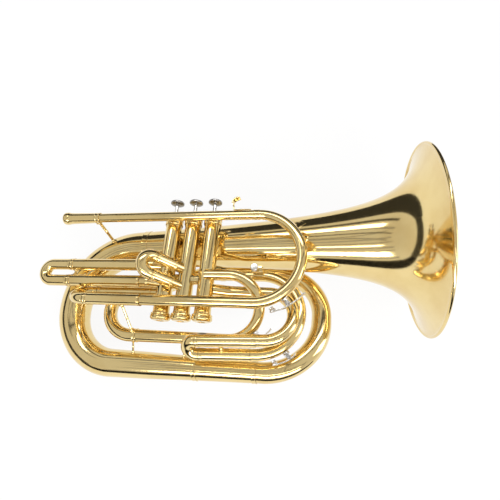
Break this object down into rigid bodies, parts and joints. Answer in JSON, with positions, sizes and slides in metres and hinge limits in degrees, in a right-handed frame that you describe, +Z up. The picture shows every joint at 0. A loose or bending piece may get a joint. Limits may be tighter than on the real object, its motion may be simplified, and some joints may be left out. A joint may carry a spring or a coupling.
{
  "type": "marching euphonium",
  "caption": "Bell-front marching euphonium in lacquered brass with piston valves, pull slides, water keys and a mouthpiece receiver, lying on its side.",
  "frame": {"origin": "on the floor, under the middle of the bounding box of the instrument lying on its left side", "axes": "+X towards the bell along the leadpipe, +Y towards the finger buttons, +Z up, away from the floor"},
  "size_m": [0.5646, 0.341, 0.2599],
  "materials": {
    "lacquered_brass": "polished and clear-lacquered",
    "nickel_silver": "polished nickel silver",
    "piston_nickel": "lapped nickel plate",
    "spring_steel": "bright drawn wire",
    "button_inlay": "dark polished disc",
    "cork": "natural cork",
    "felt": "pressed wool felt"
  },
  "bodies": {
    "instrument": {"bell": "lacquered_brass", "left_bow": "lacquered_brass", "lower_branch": "lacquered_brass", "right_bow": "lacquered_brass", "upper_branch": "lacquered_brass", "rising_branch": "lacquered_brass", "inner_left_bow": "lacquered_brass", "feed_tube": "lacquered_brass", "bell_tail_ferrule": "lacquered_brass", "mouthpiece_receiver": "lacquered_brass", "leadpipe": "lacquered_brass", "leadpipe_bend": "lacquered_brass", "lower_leadpipe_leg": "lacquered_brass", "main_slide_lower_sleeve": "lacquered_brass", "main_slide_return_sleeve": "lacquered_brass", "first_slide_sleeves": "lacquered_brass", "second_slide_sleeves": "lacquered_brass", "third_slide_sleeves": "lacquered_brass", "third_slide_inner_bow": "lacquered_brass", "third_slide_outer_bow": "lacquered_brass", "valve_casing_1": "lacquered_brass", "bottom_cap_1": "lacquered_brass", "top_cap_1": "lacquered_brass", "valve_spring_1": "spring_steel", "valve_casing_2": "lacquered_brass", "bottom_cap_2": "lacquered_brass", "top_cap_2": "lacquered_brass", "valve_spring_2": "spring_steel", "valve_casing_3": "lacquered_brass", "bottom_cap_3": "lacquered_brass", "top_cap_3": "lacquered_brass", "valve_spring_3": "spring_steel", "valve_crossover_1": "lacquered_brass", "valve_crossover_2": "lacquered_brass", "water_key_1_saddle": "nickel_silver", "water_key_1_spring": "spring_steel", "water_key_2_saddle": "nickel_silver", "water_key_2_spring": "spring_steel", "water_key_3_saddle": "nickel_silver", "water_key_3_spring": "spring_steel", "finger_hook": "lacquered_brass", "lyre_socket": "lacquered_brass", "receiver_brace": "lacquered_brass", "bell_brace": "lacquered_brass", "leg_brace": "lacquered_brass"},
    "main_slide": {"main_slide_crook": "lacquered_brass"},
    "first_slide": {"first_slide_crook": "lacquered_brass"},
    "second_slide": {"second_slide_crook": "lacquered_brass"},
    "third_slide": {"third_slide_crook": "lacquered_brass"},
    "lyre_thumbscrew": {"lyre_screw": "nickel_silver"},
    "valve_1": {"piston_1": "piston_nickel", "finger_button_1": "nickel_silver"},
    "water_key_1": {"water_key_1_lever": "nickel_silver"},
    "valve_2": {"piston_2": "piston_nickel", "finger_button_2": "nickel_silver"},
    "water_key_2": {"water_key_2_lever": "nickel_silver"},
    "valve_3": {"piston_3": "piston_nickel", "finger_button_3": "nickel_silver"},
    "water_key_3": {"water_key_3_lever": "nickel_silver"}
  },
  "joints": [
    {"name": "main_slide_pull", "type": "slide", "parent": "instrument", "child": "main_slide", "axis": [-0.9559, 0, -0.2937], "range_m": [0, 0.055]},
    {"name": "first_slide_pull", "type": "slide", "parent": "instrument", "child": "first_slide", "axis": [-0.9559, 0, -0.2937], "range_m": [0, 0.08]},
    {"name": "second_slide_pull", "type": "slide", "parent": "instrument", "child": "second_slide", "axis": [-0.817, 0.1977, 0.5418], "range_m": [0, 0.022]},
    {"name": "third_slide_pull", "type": "slide", "parent": "instrument", "child": "third_slide", "axis": [-0.9561, -0.0418, -0.2899], "range_m": [0, 0.055]},
    {"name": "valve_1_press", "type": "slide", "parent": "instrument", "child": "valve_1", "axis": [-0.0258, -0.9961, 0.0839], "range_m": [0, 0.016], "stiffness_N_per_m": 150, "springref_m": -0.015, "deforming": ["valve_spring_1"]},
    {"name": "valve_2_press", "type": "slide", "parent": "instrument", "child": "valve_2", "axis": [-0.0258, -0.9961, 0.0839], "range_m": [0, 0.016], "stiffness_N_per_m": 150, "springref_m": -0.015, "deforming": ["valve_spring_2"]},
    {"name": "valve_3_press", "type": "slide", "parent": "instrument", "child": "valve_3", "axis": [-0.0258, -0.9961, 0.0839], "range_m": [0, 0.016], "stiffness_N_per_m": 150, "springref_m": -0.015, "deforming": ["valve_spring_3"]},
    {"name": "water_key_1_hinge", "type": "hinge", "parent": "instrument", "child": "water_key_1", "pos_m": [0.05766, -0.06927, 0.17491], "axis": [-0.2926, 0.0878, 0.9522], "range_deg": [0, 12], "stiffness_Nm_per_rad": 0.06, "springref_deg": -34.38},
    {"name": "water_key_2_hinge", "type": "hinge", "parent": "instrument", "child": "water_key_2", "pos_m": [0.06676, -0.12979, 0.1418], "axis": [-0.2926, 0.0878, 0.9522], "range_deg": [0, 12], "stiffness_Nm_per_rad": 0.06, "springref_deg": -34.38},
    {"name": "water_key_3_hinge", "type": "hinge", "parent": "instrument", "child": "water_key_3", "pos_m": [0.02896, -0.10759, 0.13392], "axis": [-0.2926, 0.0878, 0.9522], "range_deg": [0, 12], "stiffness_Nm_per_rad": 0.06, "springref_deg": -34.38},
    {"name": "lyre_screw_turn", "type": "hinge", "parent": "instrument", "child": "lyre_thumbscrew", "pos_m": [0.02184, -0.01832, 0.11993], "axis": [-0.2926, 0.0878, 0.9522], "range_deg": [0, 360]}
  ]
}
